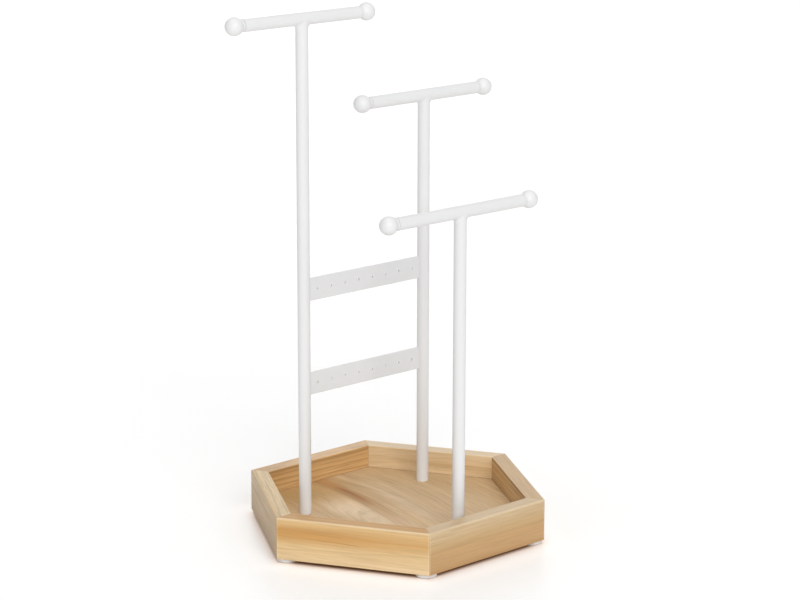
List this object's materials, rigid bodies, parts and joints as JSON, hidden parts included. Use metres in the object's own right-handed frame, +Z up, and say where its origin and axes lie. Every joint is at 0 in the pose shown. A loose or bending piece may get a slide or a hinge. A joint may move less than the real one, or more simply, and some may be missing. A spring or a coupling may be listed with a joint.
{
  "type": "jewelry stand",
  "caption": "Hexagonal wooden tray on bumper pads with white T-posts of stepped heights for necklaces, the short one swivelling, and hole-punched strips for earrings.",
  "frame": {"origin": "middle of the hexagonal tray, on the plane the pads rest on", "axes": "+Z up; X runs along the crossbars and strips, with the tall post on the -X side; -Y is the front, where the short post stands"},
  "size_m": [0.2752, 0.2166, 0.4242],
  "materials": {
    "rail_wood": "pale pine, straight grain along each rail, thin satin lacquer",
    "floor_wood": "pale pine board with a darker streak, thin satin lacquer",
    "white_coat": "white powder coat, semi-gloss",
    "strip_coat": "white powder coat, satin",
    "clear_pad": "clear polyurethane, soft",
    "zinc_steel": "bright zinc plate"
  },
  "bodies": {
    "tray_and_rear_frame": {"rail_front": "rail_wood", "rail_front_right": "rail_wood", "rail_back_right": "rail_wood", "rail_back": "rail_wood", "rail_back_left": "rail_wood", "rail_front_left": "rail_wood", "tray_floor": "floor_wood", "corner_v_nails": "zinc_steel", "pad_right": "clear_pad", "pad_back_right": "clear_pad", "pad_back_left": "clear_pad", "pad_left": "clear_pad", "pad_front_left": "clear_pad", "pad_front_right": "clear_pad", "tall_post_tube": "white_coat", "tall_crossbar": "white_coat", "tall_weld": "white_coat", "tall_finial_left": "white_coat", "tall_finial_right": "white_coat", "tall_threaded_insert": "zinc_steel", "tall_screw": "zinc_steel", "tall_washer": "zinc_steel", "tall_spring_washer": "zinc_steel", "middle_post_tube": "white_coat", "middle_crossbar": "white_coat", "middle_weld": "white_coat", "middle_finial_left": "white_coat", "middle_finial_right": "white_coat", "middle_threaded_insert": "zinc_steel", "middle_screw": "zinc_steel", "middle_washer": "zinc_steel", "middle_spring_washer": "zinc_steel", "front_washer": "zinc_steel", "front_spring_washer": "zinc_steel", "upper_earring_strip": "strip_coat", "lower_earring_strip": "strip_coat"},
    "front_post": {"front_post_tube": "white_coat", "front_crossbar": "white_coat", "front_weld": "white_coat", "front_finial_left": "white_coat", "front_finial_right": "white_coat", "front_threaded_insert": "zinc_steel", "front_screw": "zinc_steel"}
  },
  "joints": [
    {"name": "front_post_swivel", "type": "hinge", "parent": "tray_and_rear_frame", "child": "front_post", "pos_m": [0, -0.074, 0.018], "axis": [0, 0, 1], "continuous": true}
  ]
}
